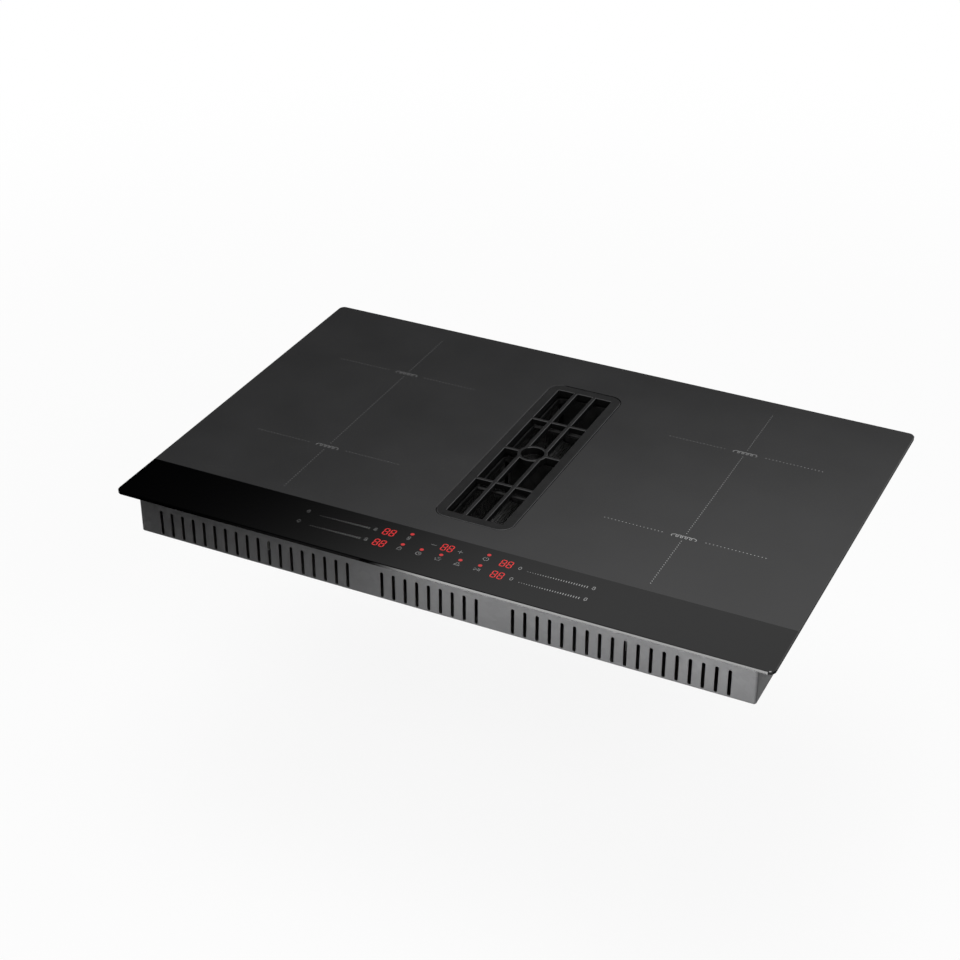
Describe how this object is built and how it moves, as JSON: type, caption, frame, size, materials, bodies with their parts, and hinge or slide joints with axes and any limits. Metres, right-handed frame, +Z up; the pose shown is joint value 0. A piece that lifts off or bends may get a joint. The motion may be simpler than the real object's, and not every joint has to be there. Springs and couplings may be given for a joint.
{
  "type": "downdraft induction cooktop",
  "caption": "Built-in induction hob with a satin black glass top, a lift-out centre vent grille and a downdraft fan with a flat duct outlet under its slotted housing.",
  "frame": {"origin": "on the underside of the fan housing, directly below the middle of the glass top", "axes": "+X to the user's right, +Y away from the user to the wall, +Z up"},
  "size_m": [0.78, 0.52, 0.2],
  "materials": {
    "ceramic_glass": "black glass-ceramic, satin over the zones and glossy along the front",
    "seal_foam": "closed-cell foam",
    "housing_sheet": "matt grey coated sheet steel",
    "frame_aluminium": "mill",
    "fastener_steel": "zinc plated",
    "well_plastic": "moulded black",
    "grille_coating": "matt black coated casting",
    "filter_steel": "stainless sheet",
    "filter_mesh": "expanded metal mesh",
    "tank_plastic": "moulded smoke grey",
    "fan_plastic": "moulded dark grey",
    "wheel_plastic": "glass-filled grey",
    "motor_steel": "pressed steel",
    "shaft_steel": "ground",
    "winding_copper": "enamelled copper",
    "carrier_plastic": "heat-resistant moulding",
    "ferrite": "sintered",
    "sensor_ceramic": "white ceramic",
    "spring_steel": "wire",
    "mica": "pressed mica",
    "deck_aluminium": "sheet",
    "board_laminate": "solder resist",
    "sink_aluminium": "extruded",
    "cooler_plastic": "moulded black",
    "tray_plastic": "moulded pale grey",
    "digit_red": "red segment module",
    "lamp_red": "red lens",
    "box_plastic": "moulded black",
    "block_plastic": "moulded white",
    "gland_plastic": "moulded black"
  },
  "bodies": {
    "hob": {"glass_top": "ceramic_glass", "worktop_seal": "seal_foam", "glass_frame": "frame_aluminium", "lower_housing": "housing_sheet", "housing_screws": "fastener_steel", "intake_well": "well_plastic", "well_flange": "well_plastic", "filter_posts": "well_plastic", "well_seal": "seal_foam", "tank_rails": "fastener_steel", "scroll_upper": "fan_plastic", "scroll_lower": "fan_plastic", "fan_screws": "fastener_steel", "fan_seal": "seal_foam", "bell_mouth": "well_plastic", "motor_stator": "winding_copper", "outlet_collar": "fan_plastic", "coil_ferrites": "ferrite", "coil_sensors": "sensor_ceramic", "coil_springs": "spring_steel", "standoffs": "fastener_steel", "mica_sheets": "mica", "control_tray": "tray_plastic", "control_board": "board_laminate", "digit_modules": "digit_red", "indicator_lamps": "lamp_red", "touch_springs": "spring_steel", "terminal_box": "box_plastic", "terminal_block": "block_plastic", "cable_gland": "gland_plastic", "coil_winding_rear_left": "winding_copper", "coil_carrier_rear_left": "carrier_plastic", "coil_winding_rear_right": "winding_copper", "coil_carrier_rear_right": "carrier_plastic", "coil_winding_front_left": "winding_copper", "coil_carrier_front_left": "carrier_plastic", "coil_winding_front_right": "winding_copper", "coil_carrier_front_right": "carrier_plastic", "coil_deck_left": "deck_aluminium", "power_board_left": "board_laminate", "heat_sink_left": "sink_aluminium", "cooling_fan_frame_left": "cooler_plastic", "coil_deck_right": "deck_aluminium", "power_board_right": "board_laminate", "heat_sink_right": "sink_aluminium", "cooling_fan_frame_right": "cooler_plastic"},
    "grille": {"vent_grille": "grille_coating"},
    "filter_rear": {"filter_frame_rear": "filter_steel", "filter_mesh_rear": "filter_mesh"},
    "filter_front": {"filter_frame_front": "filter_steel", "filter_mesh_front": "filter_mesh"},
    "tank": {"overflow_tank": "tank_plastic"},
    "fan_wheel": {"impeller": "wheel_plastic", "motor_rotor": "motor_steel", "motor_shaft": "shaft_steel"},
    "cooler_left": {"cooling_fan_rotor_left": "cooler_plastic"},
    "cooler_right": {"cooling_fan_rotor_right": "cooler_plastic"},
    "outlet_flap_upper": {"flap_upper": "wheel_plastic"},
    "outlet_flap_lower": {"flap_lower": "wheel_plastic"},
    "terminal_lid": {"terminal_cover": "box_plastic"}
  },
  "joints": [
    {"name": "grille_lift", "type": "slide", "parent": "hob", "child": "grille", "axis": [0, 0, 1], "range_m": [0, 0.18]},
    {"name": "filter_rear_lift", "type": "slide", "parent": "hob", "child": "filter_rear", "axis": [0, 0, 1], "range_m": [0, 0.09]},
    {"name": "filter_front_lift", "type": "slide", "parent": "hob", "child": "filter_front", "axis": [0, 0, 1], "range_m": [0, 0.09]},
    {"name": "tank_pull", "type": "slide", "parent": "hob", "child": "tank", "axis": [0, -1, 0], "range_m": [0, 0.085]},
    {"name": "impeller_spin", "type": "hinge", "parent": "hob", "child": "fan_wheel", "pos_m": [0, 0.1, 0.04], "axis": [0, 0, 1], "continuous": true},
    {"name": "cooler_left_spin", "type": "hinge", "parent": "hob", "child": "cooler_left", "pos_m": [-0.215, 0.095, 0.153], "axis": [0, 0, 1], "continuous": true},
    {"name": "cooler_right_spin", "type": "hinge", "parent": "hob", "child": "cooler_right", "pos_m": [0.215, 0.095, 0.153], "axis": [0, 0, 1], "continuous": true},
    {"name": "flap_upper_swing", "type": "hinge", "parent": "hob", "child": "outlet_flap_upper", "pos_m": [0.031, 0.23, 0.0855], "axis": [1, 0, 0], "range_deg": [0, 75]},
    {"name": "flap_lower_swing", "type": "hinge", "parent": "hob", "child": "outlet_flap_lower", "pos_m": [0.031, 0.23, 0.0445], "axis": [1, 0, 0], "range_deg": [0, 75]},
    {"name": "terminal_lid_swing", "type": "hinge", "parent": "hob", "child": "terminal_lid", "pos_m": [0.29, 0.1675, 0.116], "axis": [-1, 0, 0], "range_deg": [0, 100]}
  ],
  "couplings": [
    {"joint": "filter_rear_lift", "follows": "grille_lift", "ratio": 0.5},
    {"joint": "filter_front_lift", "follows": "grille_lift", "ratio": 0.5}
  ]
}
